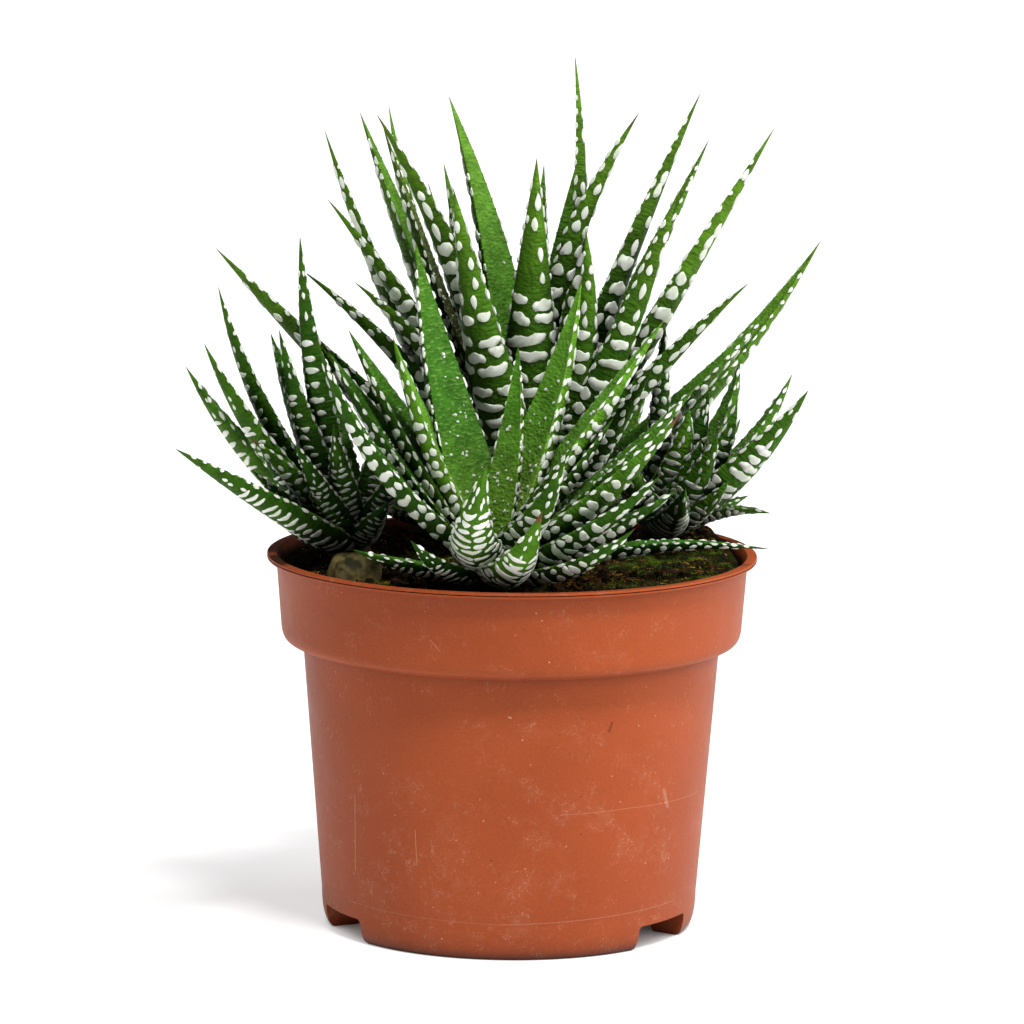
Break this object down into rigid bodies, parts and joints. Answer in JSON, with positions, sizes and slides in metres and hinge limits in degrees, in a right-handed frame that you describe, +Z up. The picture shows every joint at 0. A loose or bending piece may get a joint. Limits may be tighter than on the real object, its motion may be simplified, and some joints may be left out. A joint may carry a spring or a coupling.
{
  "type": "potted haworthia",
  "caption": "zebra haworthia clump of pointed banded leaves in soil, standing in a thin-walled plastic nursery pot",
  "frame": {"origin": "on the pot's axis, at the level where its feet stand, which is the middle of the footprint of the whole plant", "axes": "+Z up, -Y towards the viewer of the picture, +X to the viewer's right"},
  "size_m": [0.1575, 0.1233, 0.214],
  "materials": {
    "pot_plastic": "moulded polypropylene, terracotta colour, scuffed",
    "potting_mix": "dark crumbly peat with moss",
    "stone": "worn pebble with a mossy film",
    "leaf": "leathery green leaf skin with raised white tubercles"
  },
  "bodies": {
    "root": {"pot": "pot_plastic", "soil": "potting_mix", "stone": "stone", "rosette_front": "leaf", "rosette_back": "leaf", "rosette_left": "leaf", "rosette_right": "leaf", "rosette_rear": "leaf", "rosette_rear_right": "leaf"}
  },
  "joints": []
}
